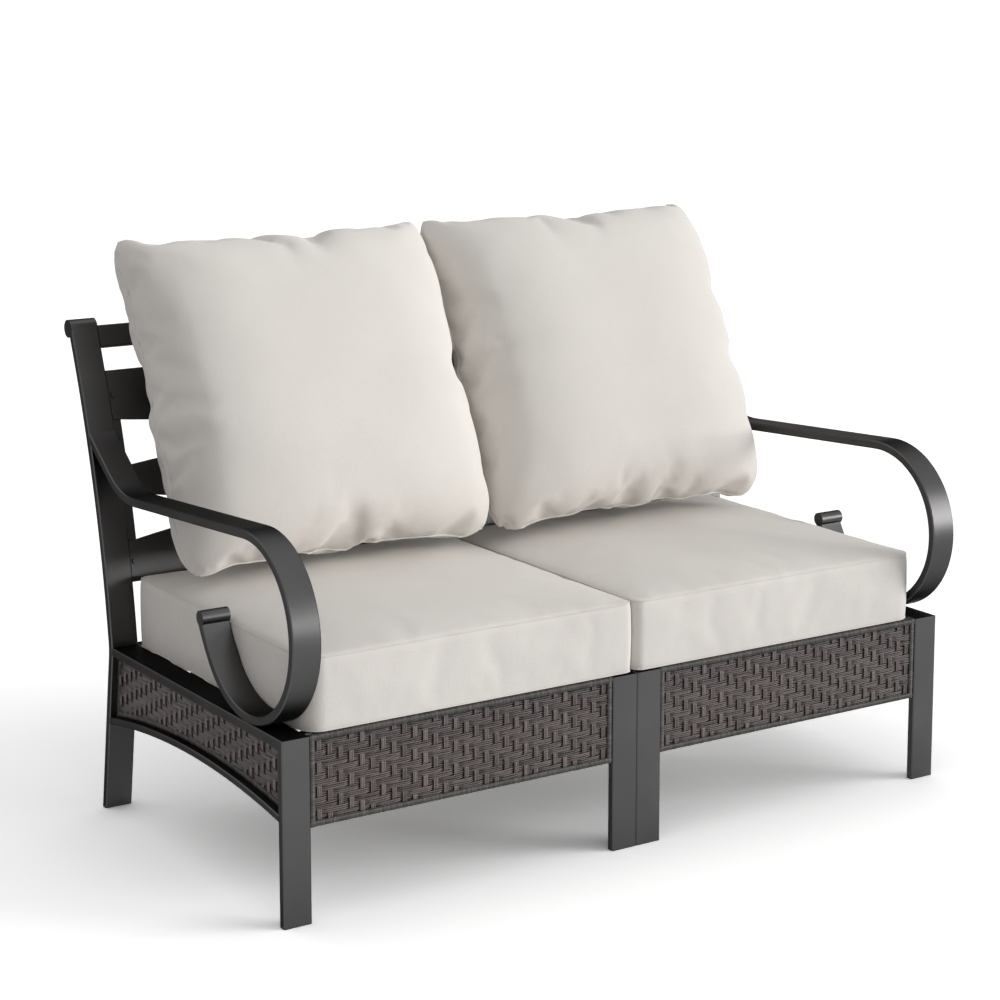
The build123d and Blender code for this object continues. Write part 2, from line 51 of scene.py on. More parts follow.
# Seat cushion: size across, deep and high, place, height of its foot, and its limits across
seat_size = (0.6276, 0.6155, 0.128)
seat_middle = (0.3158, -0.0620)
seat_floor = 0.3053
seat_limits = (0.0015, 0.6297)
seat_grid = 72
seat_rows = 16
seat_seeds = {"left": 3.0, "right": 19.0}

# Its corners: the outer front one, and the radius of the other three
seat_front_corner = 0.034
seat_corner = 0.018

# Its top: how far it crowns, how far and how roundly it falls to the seam, and its ripples
seat_crown = 0.012
seat_edge = 0.008
seat_edge_round = 0.35
seat_ripple = 0.0012
seat_ripple_scale = 9

# Its foot: how far it sinks between the bars, and where beside the middle rails that starts
seat_sag = 0.005
seat_rail_inner = 0.052
seat_sag_ease = 0.02
slat_margin = 0.004

# Its band: how far and how roundly it bulges, its waves, and how squarely it faces out
band_bulge = 0.0025
band_round = 0.6
band_wave = 0.0012
band_wave_scale = 28
band_wave_rise = 1.2
band_square = 9

# Share of the cloth's folds that the top keeps in its middle and adds at its seam, and the band
top_folds = (0.10, 0.1)
band_folds = (0.1, 0.12)

# Back pillow: width and height along its seam, place, lean, bulge of each face and its shape
pillow_size = (0.622, 0.630)
pillow_middle = (0.3138, 0.2045, 0.7320)
pillow_lean = math.radians(25.5)
pillow_front = 0.140
pillow_back = 0.110
pillow_square = 3.8
pillow_round = 0.52
pillow_limits = (0.0012, 0.6285)
pillow_floor = 0.4455
pillow_grid = 84
pillow_seeds = {"left": 5.0, "right": 31.0}

# Its outline: radii of the ears, how far its sides are drawn in, and the inner side's share
pillow_ear = 0.034
pillow_foot_ear = 0.062
pillow_draw_across = 0.012
pillow_draw_up = 0.055
pillow_draw_power = 12
pillow_foot_draw_power = 9
pillow_inner_draw = 0.35

# Its unevenness: how the drawn-in sides wave, how the seam flutters, and where folds are kept
pillow_wave_across = 0.008
pillow_wave_up = 0.012
pillow_wave_scale = 8
pillow_flutter = 0.007
pillow_flutter_scale = 15
pillow_fold_reach = 0.055
pillow_folds = (0.05, 0.75)

# Piping, filling and the simulation of the cloth
welt_radius = 0.002
seat_welt_radius = 0.0011
seat_welt_rise = 0.0014
welt_sides = 8
stuffing_frames = 20
swelling_gain = 4

# Weave: flat resin strands, two over and two under, each split in fine ones
row_pitch = 0.0092
column_pitch = 0.0195
weft_ply = 3
warp_width = 0.0084
warp_ply = 3
strand_thick = 0.0009
strand_lift = 0.0013
warp_lift = 1.1
strand_half = 0.47
crossing_rest = 0.2
weft_steps = 7
warp_steps = 5
weave_seed = 7

# How unevenly strands lie and how their colour varies
weft_shift = (-0.0004, 0.0004)
weft_proud = (-0.0002, 0.0003)
row_tones = (-0.1, 0.1)
weft_tones = (-0.25, 0.25)
column_tones = (-0.15, 0.2)
warp_tones = (-0.2, 0.2)

# Outline of a strand across its run, domed on top, as shares of its half width and thickness
strand_shares = ((-1, 0), (-0.86, 0.8), (0, 1.15), (0.86, 0.8), (1, 0), (0, -0.2))

# Wrapped border round a panel: each turn of the wrapping has three cross-sections
border_width = 0.010
border_half = border_width / 2
panel_inset = border_width * 0.8
corner_overlap = border_half * 0.9
side_border_half = border_half * 0.9
wrap_pitch = 0.0026
wrap_swells = (0.09, -0.02, -0.09)
wrap_sides = 12
wrap_square = 0.55
wrap_uneven = 0.5
wrap_uneven_pace = 0.7
wrap_tones = (-0.3, 0.3)
wrap_seed = 11
# Tone of the plates behind the weaves, darker than the strands': painted shade of the hollow seen
# through the weave.
lining_painted_shade = -0.3

# Depths behind the apron's front and behind the side panel's outer face, and lining thicknesses
apron_margin = 0.0005
apron_weave_depth = 0.0045
side_weave_depth = 0.004
lining_depth = 0.0075
apron_lining = 0.003
side_lining = 0.002

# Edges of the side panel: the arched rail below it, the side rail's foot and the stile's front
arch_start = Vector((-0.363, 0.177))
arch_crown = Vector((-0.0533, 0.200))
arch_end = Vector((0.2738, 0.167))
arch_half = 0.006
arch_steps = 24
rail_foot = 0.290
stile_face = 0.2564
side_weave_start = 0.01


# Materials

# Sockets of a colour mix: its factor, both colours and the result
mix_factor, mix_low, mix_high, mix_result = 0, 6, 7, 2


class Wiring:
    """A node tree, with helpers that add nodes to it."""

    def __init__(self, tree):
        self.tree = tree

    def node(self, kind, **settings):
        """Add a node; a setting is the value of an input or else a property."""
        made = self.tree.nodes.new(kind)
        for key, value in settings.items():
            if key in made.inputs:
                made.inputs[key].default_value = value
            else:
                setattr(made, key, value)
        return made

    def feed(self, socket, value):
        """Link an output to a socket, or give the socket a value of its own."""
        if isinstance(value, bpy.types.NodeSocket):
            self.tree.links.new(value, socket)
        else:
            socket.default_value = value

    def place(self):
        """Place on the object."""
        return self.node("ShaderNodeTexCoord").outputs["Object"]

    def stretched(self, place, scale):
        """A place stretched by a scale on each axis."""
        made = self.node("ShaderNodeMapping", Scale=scale)
        self.feed(made.inputs["Vector"], place)
        return made.outputs[0]

    def clouds(self, place, scale, detail, roughness=0.5):
        """Noise from 0 to 1 over a place."""
        made = self.node("ShaderNodeTexNoise", Scale=scale, Detail=detail, Roughness=roughness)
        self.feed(made.inputs["Vector"], place)
        return made.outputs[0]

    def worked(self, operation, *values):
        """Result of an operation on outputs and numbers."""
        made = self.node("ShaderNodeMath", operation=operation)
        for socket, value in zip(made.inputs, values):
            self.feed(socket, value)
        return made.outputs[0]

    def ranged(self, value, span, new_span=(0, 1)):
        """A value moved from one span to another."""
        made = self.node("ShaderNodeMapRange")
        made.inputs["From Min"].default_value, made.inputs["From Max"].default_value = span
        made.inputs["To Min"].default_value, made.inputs["To Max"].default_value = new_span
        self.feed(made.inputs["Value"], value)
        return made.outputs[0]

    def mixed(self, factor, low, high):
        """Blend of two colours by a factor."""
        made = self.node("ShaderNodeMix", data_type="RGBA")
        self.feed(made.inputs[mix_factor], factor)
        made.inputs[mix_low].default_value = (*low, 1)
        made.inputs[mix_high].default_value = (*high, 1)
        return made.outputs[mix_result]

    def bumped(self, height, strength, distance):
        """Normal that follows a height."""
        made = self.node("ShaderNodeBump", Strength=strength, Distance=distance)
        self.feed(made.inputs["Height"], height)
        return made.outputs[0]


class Finish(Wiring):
    """A new material."""

    def __init__(self, name):
        self.material = bpy.data.materials.new(name)
        self.material.use_nodes = True
        super().__init__(self.material.node_tree)

    def shaded(self, settings):
        """Give the shader its inputs, and return the material."""
        shader = self.tree.nodes["Principled BSDF"]
        for key, value in settings.items():
            self.feed(shader.inputs[key], value)
        return self.material


def powder_coat():
    """Satin charcoal powder coat with a fine grain."""
    finish = Finish("frame_powder_coat")
    place = finish.place()
    grain = finish.clouds(place, scale=900.0, detail=2.0, roughness=0.6)
    cloud = finish.clouds(place, scale=7.0, detail=3.0)
    return finish.shaded({
        "Base Color": finish.mixed(cloud, (0.067, 0.066, 0.066), (0.089, 0.087, 0.087)),
        "Roughness": finish.ranged(cloud, (0.3, 0.7), (0.29, 0.37)),
        "Metallic": 1.0,
        "Specular Tint": (0.2, 0.2, 0.2, 1),
        "Normal": finish.bumped(grain, strength=0.18, distance=0.0004),
    })


def foot_plastic():
    """Black moulded plastic of the glides and clips."""
    finish = Finish("foot_plastic")
    grain = finish.clouds(finish.place(), scale=700.0, detail=2.0)
    return finish.shaded({
        "Base Color": finish.mixed(grain, (0.012, 0.012, 0.012), (0.02, 0.02, 0.02)),
        "Roughness": 0.55,
        "Normal": finish.bumped(grain, strength=0.25, distance=0.0003),
    })


def strand_resin(name, low, high, along):
    """Extruded resin strand with fine streaks along some axes and uneven colour."""
    finish = Finish(name)
    stretch = [14.0 if axis in along else 900.0 for axis in "XYZ"]
    place = finish.stretched(finish.place(), stretch)
    streak = finish.clouds(place, scale=1.0, detail=3.0, roughness=0.7)
    tone = finish.node("ShaderNodeAttribute", attribute_name="tone").outputs["Fac"]
    spread = finish.ranged(finish.worked("ADD", streak, tone), (0.25, 1.05))
    return finish.shaded({
        "Base Color": finish.mixed(spread, low, high),
        "Roughness": 0.48,
        "Normal": finish.bumped(streak, strength=0.6, distance=0.0006),
    })


def cushion_fabric():
    """Off-white woven polyester: a fine plain weave with slubs, soft at grazing light."""
    finish = Finish("cushion_fabric")
    place = finish.place()
    cloud = finish.clouds(place, scale=5.0, detail=3.0, roughness=0.55)
    threads = [
        finish.clouds(finish.stretched(place, stretch), scale=1.0, detail=2.0)
        for stretch in ((60.0, 1500.0, 1500.0), (1500.0, 60.0, 60.0))
    ]
    weave = finish.worked("ADD", *threads)
    spread = finish.ranged(finish.worked("MULTIPLY_ADD", weave, 0.6, cloud), (0.6, 1.6))
    return finish.shaded({
        "Base Color": finish.mixed(spread, (0.69, 0.655, 0.615), (0.79, 0.755, 0.71)),
        "Roughness": 0.92,
        "Sheen Weight": 0.15,
        "Sheen Roughness": 0.5,
        "Specular IOR Level": 0.2,
        "Normal": finish.bumped(weave, strength=0.35, distance=0.0007),
    })


metal = powder_coat()
plastic = foot_plastic()
fabric = cushion_fabric()
apron_weft = strand_resin("apron_weft", (0.022, 0.015, 0.0145), (0.135, 0.1, 0.096), "X")
# The side panel's weft is the apron's resin made darker: painted shade of the side turned away
# from the light.
shaded_side_weft = strand_resin("shaded_side_weft", (0.02, 0.0135, 0.013), (0.115, 0.088, 0.082), "Y")
warp_resin = strand_resin("warp_resin", (0.075, 0.058, 0.055), (0.23, 0.185, 0.175), "Z")
wrap_across = strand_resin("wrap_across", (0.018, 0.016, 0.015), (0.095, 0.085, 0.078), "Z")
wrap_upright = strand_resin("wrap_upright", (0.018, 0.016, 0.015), (0.095, 0.085, 0.078), "XY")


# Mesh helpers

def add_piece(name, verts, faces, materials, body, tones=None, slots=None):
    """Make a smooth mesh piece, and let it ride on its body."""
    mesh = bpy.data.meshes.new(name)
    mesh.from_pydata(verts, [], faces)
    for material in materials:
        mesh.materials.append(material)
    mesh.polygons.foreach_set("use_smooth", [True] * len(mesh.polygons))
    if slots:
        mesh.polygons.foreach_set("material_index", slots)
    if tones:
        tone = mesh.attributes.new("tone", "FLOAT", "POINT")
        tone.data.foreach_set("value", tones)
    mesh.update()
    piece = bpy.data.objects.new(name, mesh)
    bpy.context.scene.collection.objects.link(piece)
    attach(piece, body)
    return piece


class Sheet:
    """Collects strands, each a row of cross-sections, into one mesh."""

    def __init__(self):
        self.verts, self.faces, self.tones, self.slots = [], [], [], []

    def strand(self, rings, tone, slot=0, closed=False):
        """Add a strand from its rings of points; a closed one joins its end to its start."""
        start, size, count = len(self.verts), len(rings[0]), len(rings)
        for ring in rings:
            self.verts.extend(ring)
            self.tones.extend([tone] * size)
        for i in range(count if closed else count - 1):
            here, there = start + i * size, start + (i + 1) % count * size
            for k in range(size):
                after = (k + 1) % size
                self.faces.append((here + k, here + after, there + after, there + k))
        if not closed:
            last = start + (count - 1) * size
            self.faces.append(tuple(start + k for k in reversed(range(size))))
            self.faces.append(tuple(last + k for k in range(size)))
        self.slots.extend([slot] * (len(self.faces) - len(self.slots)))

    def piece(self, name, materials, body, slot):
        """Make the mesh piece."""
        return add_piece(
            name, self.verts, self.faces, materials, body, self.tones, self.slots
        )


def eased(position, pitch, side):
    """Height of a strand along its run, easing from crossing to crossing."""
    place = position / pitch - 0.5
    low = math.floor(place)
    part = (place - low - crossing_rest) / (1 - 2 * crossing_rest)
    blend = 0.5 - 0.5 * math.cos(math.pi * min(max(part, 0), 1))
    return side(low) * (1 - blend) + side(low + 1) * blend


def upright_over(column, row):
    """Whether the upright strand lies on top at a crossing."""
    return (row + column) % 4 in (0, 1)


def weave_panel(panel, width, height, reach):
    """Weave a panel in the plane (origin, along, up, outward), down to reach(u) at each u."""
    origin, along, up, outward = panel
    sheet = Sheet()
    chance = random.Random(weave_seed)
    columns = max(2, round(width / column_pitch))
    rows = max(2, round(height / row_pitch))
    pitch_u, pitch_v = width / columns, height / rows
    fine_weft, fine_warp = pitch_v / weft_ply, warp_width / warp_ply

    def point(u, v, n):
        return origin + along * u + up * v + outward * n

    def add(rings, tone, slot):
        """Add a strand, unless the panel's edge leaves too little of it."""
        if len(rings) > 2:
            sheet.strand(rings, tone, slot)

    for row in range(rows):
        row_tone = chance.uniform(*row_tones)
        for ply in range(weft_ply):
            v = row * pitch_v + (ply + 0.5) * fine_weft
            tone = row_tone + chance.uniform(*weft_tones)
            shift = [chance.uniform(*weft_shift) for _ in range(columns + 1)]
            proud = [chance.uniform(*weft_proud) for _ in range(columns + 1)]
            rings = []
            for i in range(columns * weft_steps + 1):
                u = i * pitch_u / weft_steps
                if v - fine_weft / 2 < reach(u):
                    add(rings, tone, 0)
                    rings = []
                    continue
                side = eased(u, pitch_u, lambda c: -1 if upright_over(c, row) else 1)
                part, place = math.modf(i / weft_steps)
                first, second = int(place), min(int(place) + 1, columns)
                tilt = shift[first] * (1 - part) + shift[second] * part
                n = strand_lift * side
                n += proud[first] * (1 - part) + proud[second] * part
                rings.append([
                    point(u, v + a * fine_weft * strand_half + tilt, n + b * strand_thick)
                    for a, b in strand_shares
                ])
            add(rings, tone, 0)
    for column in range(columns):
        middle = (column + 0.5) * pitch_u
        column_tone = chance.uniform(*column_tones)
        for ply in range(warp_ply):
            u = middle + (ply + 0.5) * fine_warp - warp_width / 2
            tone = column_tone + chance.uniform(*warp_tones)
            rings = []
            for i in range(rows * warp_steps + 1):
                v = i * pitch_v / warp_steps
                if v < reach(u):
                    continue
                side = eased(v, pitch_v, lambda r: warp_lift if upright_over(column, r) else -1)
                n = strand_lift * side
                rings.append([
                    point(u - a * fine_warp * strand_half, v, n + b * strand_thick)
                    for a, b in strand_shares
                ])
            add(rings, tone, 1)
    return sheet


def squarish(value):
    """A cosine or sine moved towards a rounded square's."""
    return math.copysign(abs(value) ** wrap_square, value)


def wrapped_bar(path, outward, half_width, half_thick):
    """A bar along a path, closely wrapped with fine strands."""
    sheet = Sheet()
    chance = random.Random(wrap_seed)
    each = len(wrap_swells)
    steps = []
    for first, second in zip(path, path[1:]):
        count = max(1, round((second - first).length / (wrap_pitch / each)))
        steps += [first.lerp(second, i / count) for i in range(count)]
    steps.append(path[-1])
    rings = []
    for i, middle in enumerate(steps):
        run = (steps[min(i + 1, len(steps) - 1)] - steps[max(i - 1, 0)]).normalized()
        side = run.cross(outward).normalized()
        uneven = 1 + wrap_uneven * noise.noise(Vector((i * wrap_uneven_pace, 3, 5)))
        swell = 1 + wrap_swells[i % each] * uneven
        ring = []
        for k in range(wrap_sides):
            turn = 2 * math.pi * k / wrap_sides
            wide = squarish(math.cos(turn)) * half_width * swell
            thick = squarish(math.sin(turn)) * half_thick * swell
            ring.append(middle + side * wide + outward * thick)
        rings.append(ring)
    sheet.strand(rings, 0.0)
    shade = [chance.uniform(*wrap_tones) for _ in range(len(rings) // each + 1)]
    sheet.tones = [shade[i // wrap_sides // each] for i in range(len(sheet.verts))]
    return sheet


# Woven aprons and side panels

def circle_through(first, second, third):
    """Centre and radius of the circle through three points."""
    ax, ay = second - first
    bx, by = third - first
    cross = 2 * (ax * by - ay * bx)
    a, b = ax * ax + ay * ay, bx * bx + by * by
    centre = first + Vector((by * a - ay * b, ax * b - bx * a)) / cross
    return centre, (centre - first).length


arch_centre, arch_radius = circle_through(arch_start, arch_crown, arch_end)


def arch_top(y):
    """Height of the arched rail's upper face."""
    return arch_centre.y + math.sqrt((arch_radius + arch_half) ** 2 - (y - arch_centre.x) ** 2)


def add_border(name, path, outward, half_thick):
    """Make one bar of a border; those at the head and the foot are wrapped upright."""
    finish = wrap_across if name.endswith(("foot", "head")) else wrap_upright
    bar = wrapped_bar(path, outward, border_half, half_thick)
    bar.piece(name, [finish], "frame", "woven_resin")


def add_lining(name, rings, resin):
    """Make the thin plate behind a weave, from the outlines of both its faces; its tone, darker
    than the strands', is painted shade of the hollow behind the weave.
    """
    plate = Sheet()
    plate.strand(rings, lining_painted_shade)
    plate.piece(name, [resin], "frame", "woven_resin")


def woven_apron(side):
    """Front apron between the legs: a wrapped border round a twill panel."""
    low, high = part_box(side + "_woven_apron")
    front = low.y + apron_margin
    width, height = high.x - low.x, high.z - low.z
    inset = panel_inset
    panel = (Vector((low.x + inset, front + apron_weave_depth, low.z + inset)), X, Z, -Y)
    sheet = weave_panel(panel, width - 2 * inset, height - 2 * inset, lambda u: -1)
    woven = sheet.piece(side + "_apron_weave", [apron_weft, warp_resin], "frame", "woven_resin")
    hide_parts(side + "_woven_apron")
    left, right = low.x + border_half, high.x - border_half
    foot, head = low.z + border_half, high.z - border_half
    ring = [(left, foot), (right, foot), (right, head), (left, head)]
    corners = [Vector((x, front + border_half, z)) for x, z in ring]
    edges = [("foot", 0, 1), ("right_edge", 1, 2), ("head", 2, 3), ("left_edge", 3, 0)]
    for name, start, end in edges:
        first, second = corners[start], corners[end]
        over = (second - first).normalized() * corner_overlap
        add_border(side + "_apron_" + name, [first - over, second + over], -Y, border_half)
    plate = front + lining_depth
    rings = [[Vector((x, plate + t, z)) for x, z in ring] for t in (0, apron_lining)]
    add_lining(side + "_apron_lining", rings, apron_weft)


def woven_side(side):
    """Side panel between the rails, the leg and the stile."""
    low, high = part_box(side + "_woven_side_panel")
    out = sides[side]
    face = high.x if out > 0 else low.x
    start, end = low.y, high.y
    inset = panel_inset
    bottom = arch_top(start) + inset
    origin = Vector((face - out * side_weave_depth, start + inset, bottom - side_weave_start))
    base = origin.z
    height = rail_foot - inset - base

    def reach(u):
        return arch_top(origin.y + u) + inset - base

    sheet = weave_panel((origin, Y, Z, X * out), end - start - 2 * inset, height, reach)
    # Its weft is the darker copy of the apron's resin: painted shade.
    woven = sheet.piece(side + "_side_weave", [shaded_side_weft, warp_resin], "frame", "woven_resin")
    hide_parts(side + "_woven_side_panel")
    half, steps = border_half, arch_steps
    depth = face - out * half
    arch = [start + half + (end - start - 2 * half) * i / steps for i in range(steps + 1)]
    foot = [Vector((depth, y, arch_top(y) + half)) for y in arch]
    head = [Vector((depth, y, rail_foot - half)) for y in (start, stile_face)]
    edges = {
        "foot": foot,
        "head": head,
        "front_edge": [foot[0] - Z * half, head[0] + Y * half + Z * half],
        "back_edge": [foot[-1] - Z * half, Vector((depth, stile_face - half, rail_foot))],
    }
    for name, path in edges.items():
        add_border(side + "_side_" + name, path, X * out, side_border_half)
    plate = face - out * lining_depth
    ring = [(y, arch_top(y) + half) for y in arch]
    ring += [(stile_face - half, rail_foot - half), (start + half, rail_foot - half)]
    rings = [[Vector((plate - out * t, y, z)) for y, z in ring] for t in (0, side_lining)]
    add_lining(side + "_side_lining", rings, shaded_side_weft)


# Soft pieces

class Shell:
    """Collects a soft piece's points, its faces and the share of its folds each point keeps."""

    def __init__(self):
        self.verts, self.faces, self.folds, self.index = [], [], [], {}

    def point(self, place, fold):
        """Add a point, and return its number."""
        self.verts.append(place)
        self.folds.append(fold)
        return len(self.verts) - 1

    def panel(self, face, count, turned):
        """Join a face's grid of points; a turned one looks the other way."""
        for j in range(count):
            for i in range(count):
                places = [(i, j), (i + 1, j), (i + 1, j + 1), (i, j + 1)]
                around = places[::-1] if turned else places
                self.faces.append([self.index[face, a, b] for a, b in around])

    def piece(self, name, body):
        """Make the mesh piece, in the cushions' fabric."""
        return add_piece(name, self.verts, self.faces, [fabric], body)


def rim(count):
    """Places of a grid's border, in order round it."""
    path = [(i, 0) for i in range(count)] + [(count, j) for j in range(count)]
    path += [(count - i, count) for i in range(count)]
    return path + [(0, count - j) for j in range(count)]


def seam_group(piece, indices):
    """Mark the seam's points, which the cloth doesn't lengthen."""
    group = piece.vertex_groups.new(name="seam")
    group.add(indices, 1.0, "REPLACE")


def stuffed(piece, pressure, slack, spread, wide_share, folds, cap):
    """Swell a piece as stuffed cloth whose panels are cut larger than its seams.

    Of what this does, a share of the wide swelling is kept, and of the folds each point keeps
    its own share; no point moves further than the cap.
    """
    mesh = piece.data
    count = len(mesh.vertices)
    start = np.empty(count * 3)
    mesh.vertices.foreach_get("co", start)
    start = start.reshape(-1, 3)
    cloth = piece.modifiers.new("Stuffing", "CLOTH")
    settings = cloth.settings
    settings.quality = 6
    settings.mass = 0.2
    settings.tension_stiffness = 25
    settings.compression_stiffness = 25
    settings.shear_stiffness = 5
    settings.bending_stiffness = 1.5
    settings.use_pressure = True
    settings.uniform_pressure_force = pressure
    settings.vertex_group_shrink = "seam"
    settings.shrink_min = -slack
    settings.shrink_max = 0
    settings.effector_weights.gravity = 0
    scene = bpy.context.scene
    for number in range(1, stuffing_frames + 1):
        scene.frame_set(number)
    shaped = piece.evaluated_get(bpy.context.evaluated_depsgraph_get()).to_mesh()
    moved = np.empty(count * 3)
    shaped.vertices.foreach_get("co", moved)
    piece.modifiers.remove(cloth)
    scene.frame_set(1)
    moves = moved.reshape(-1, 3) - start
    pairs = np.empty(len(mesh.edges) * 2, dtype=np.int64)
    mesh.edges.foreach_get("vertices", pairs)
    pairs = pairs.reshape(-1, 2)
    shared = np.bincount(pairs.ravel(), minlength=count)[:, None]
    wide = moves.copy()
    for _ in range(spread):
        total = np.zeros_like(wide)
        np.add.at(total, pairs[:, 0], wide[pairs[:, 1]])
        np.add.at(total, pairs[:, 1], wide[pairs[:, 0]])
        wide = (wide + total / shared) / 2
    kept = np.array(folds)[:, None]
    swelling = wide_share * wide * np.minimum(1, kept * swelling_gain)
    moves = swelling + kept * (moves - wide)
    length = np.linalg.norm(moves, axis=1)[:, None]
    moves *= np.minimum(1, cap / np.maximum(length, 1e-9))
    mesh.vertices.foreach_set("co", (start + moves).ravel())
    mesh.update()


def confined(piece, out, limits, floor):
    """Keep every point of a soft piece between its limits across and above floor(x, y)."""
    for vertex in piece.data.vertices:
        x, y, z = vertex.co
        vertex.co = (out * min(max(out * x, limits[0]), limits[1]), y, max(z, floor(x, y)))
    piece.data.update()


def finish_soft(piece, node):
    smooth = piece.modifiers.new("Smooth", "SUBSURF")
    smooth.levels = 1
    smooth.render_levels = 1
    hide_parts(node)


def welt(name, line, body, radius):
    """A closed piping cord along a line of points."""
    sheet = Sheet()
    rings = []
    count = len(line)
    turns = [2 * math.pi * k / welt_sides for k in range(welt_sides)]
    for i, middle in enumerate(line):
        run = (line[(i + 1) % count] - line[i - 1]).normalized()
        side = run.cross(Z if abs(run.z) < 0.9 else X).normalized()
        rise = side.cross(run)
        rings.append([middle + (side * math.cos(t) + rise * math.sin(t)) * radius for t in turns])
    sheet.strand(rings, 0.0, closed=True)
    sheet.piece(name, [fabric], body, "cushion_fabric")


def cosine_shares(count, crowding=0.45):
    """Shares from -1 to 1 that crowd towards both ends."""
    return [
        (1 - crowding) * (2 * i / count - 1) - crowding * math.cos(math.pi * i / count)
        for i in range(count + 1)
    ]


def even_shares(count, profile, fine=4000):
    """Shares from -1 to 1 at equal steps along the line (share, profile(share))."""
    places = [2 * i / fine - 1 for i in range(fine + 1)]
    heights = [profile(place) for place in places]
    walked = [0.0]
    for i in range(fine):
        walked.append(walked[-1] + math.hypot(2 / fine, heights[i + 1] - heights[i]))
    return [float(s) for s in np.interp(np.linspace(0, walked[-1], count + 1), walked, places)]


def rounded_square(x, y, half_x, half_y, radius):
    """Move a point of a rectangle's corner square inside its rounded corner."""
    over_x = (abs(x) - half_x + radius) / radius
    over_y = (abs(y) - half_y + radius) / radius
    if over_x > 0 and over_y > 0:
        bent_x = over_x * math.sqrt(1 - over_y * over_y / 2)
        bent_y = over_y * math.sqrt(1 - over_x * over_x / 2)
        x = math.copysign(half_x - radius * (1 - bent_x), x)
        y = math.copysign(half_y - radius * (1 - bent_y), y)
    return x, y


# Seat cushions

# Bars that carry a seat cushion, from front to back, and the bays between them
seat_bars = ["front_seat_rail"] + [f"seat_slat_{i}" for i in range(1, 5)] + ["rear_seat_rail"]
bar_spans = [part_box("left_" + bar) for bar in seat_bars]
bay_spans = [
    (bar[1].y + slat_margin, after[0].y - slat_margin)
    for bar, after in zip(bar_spans, bar_spans[1:])
]


def sag(x, y):
    """How far the cushion sinks between its bars, at x from the middle of the sofa."""
    inward = min(max((abs(x) - seat_rail_inner) / seat_sag_ease, 0), 1)
    for front, back in bay_spans:
        if front < y < back:
            return seat_sag * inward * math.sin(math.pi * (y - front) / (back - front))
    return 0.0


def seat_cushion(side):
    """Boxed seat cushion: crowned panels, a band with piped seams, rounded corners."""
    out = sides[side]
    middle = Vector((out * seat_middle[0], seat_middle[1], seat_floor))
    half_x, half_y, height = seat_size[0] / 2, seat_size[1] / 2, seat_size[2]
    seed = seat_seeds[side]
    shares = cosine_shares(seat_grid)
    shell = Shell()

    def top_point(x, y, u, v):
        """Height of the top at a place, and the share of its folds that it keeps."""
        edge = (1 - u**4) * (1 - v**4)
        z = height - seat_edge * (1 - edge**seat_edge_round)
        z += seat_crown * (1 - u * u) * (1 - v * v)
        spot = Vector((x * seat_ripple_scale + seed, y * seat_ripple_scale, seed))
        z += seat_ripple * noise.noise(spot) * edge
        return z, top_folds[0] + top_folds[1] * (1 - edge) ** 3

    for level in ("top", "foot"):
        for j, v in enumerate(shares):
            for i, u in enumerate(shares):
                corner = seat_front_corner if u * out > 0 and v < 0 else seat_corner
                x, y = rounded_square(half_x * u, half_y * v, half_x, half_y, corner)
                if level == "top":
                    z, fold = top_point(x, y, u, v)
                else:
                    z, fold = -sag(middle.x + x, middle.y + y), 0.0
                shell.index[level, i, j] = shell.point(middle + Vector((x, y, z)), fold)
        shell.panel(level, seat_grid, turned=level == "foot")

    loop = rim(seat_grid)
    tops = [shell.index["top", i, j] for i, j in loop]
    feet = [shell.index["foot", i, j] for i, j in loop]

    def band_column(low, high):
        """Points of the band between a point of the foot seam and one of the top seam."""
        foot, top = shell.verts[low], shell.verts[high]
        flat = Vector((foot.x - middle.x, foot.y - middle.y, 0))
        away = Vector((flat.x / half_x, flat.y / half_y, 0))
        away = Vector((away.x**band_square, away.y**band_square, 0)).normalized()
        spot_x, spot_y = flat.x * band_wave_scale + seed, flat.y * band_wave_scale
        column = [low]
        for k in range(1, seat_rows):
            share = k / seat_rows
            bulge = band_bulge * (4 * share * (1 - share)) ** band_round
            spot = Vector((spot_x, spot_y, share * band_wave_rise))
            ends = math.sin(math.pi * share)
            swell = bulge + band_wave * noise.noise(spot) * ends
            place = foot.lerp(top, share) + away * swell
            column.append(shell.point(place, band_folds[0] + band_folds[1] * ends))
        return column + [high]

    columns = [band_column(low, high) for low, high in zip(feet, tops)]
    for here, there in zip(columns, columns[1:] + columns[:1]):
        for k in range(seat_rows):
            shell.faces.append((here[k], there[k], there[k + 1], here[k + 1]))
    body = side + "_seat"
    piece = shell.piece(side + "_seat_cushion_cover", body)
    seam_group(piece, tops + feet)
    stuffed(
        piece, pressure=2.0, slack=0.022, spread=60, wide_share=0.1, folds=shell.folds, cap=0.008
    )
    confined(piece, out, seat_limits, lambda x, y: seat_floor - sag(x, y))
    finish_soft(piece, side + "_seat_cushion")
    for label, ring, rise in (("top", tops, 0), ("foot", feet, seat_welt_rise)):
        line = [piece.data.vertices[i].co + Z * rise for i in ring]
        welt(side + "_seat_welt_" + label, line, body, seat_welt_radius)


# Back pillows

def fullness(share):
    """How full a pillow is at a share of the way from its middle to its seam."""
    return max(0.0, 1 - abs(share) ** pillow_square) ** pillow_round


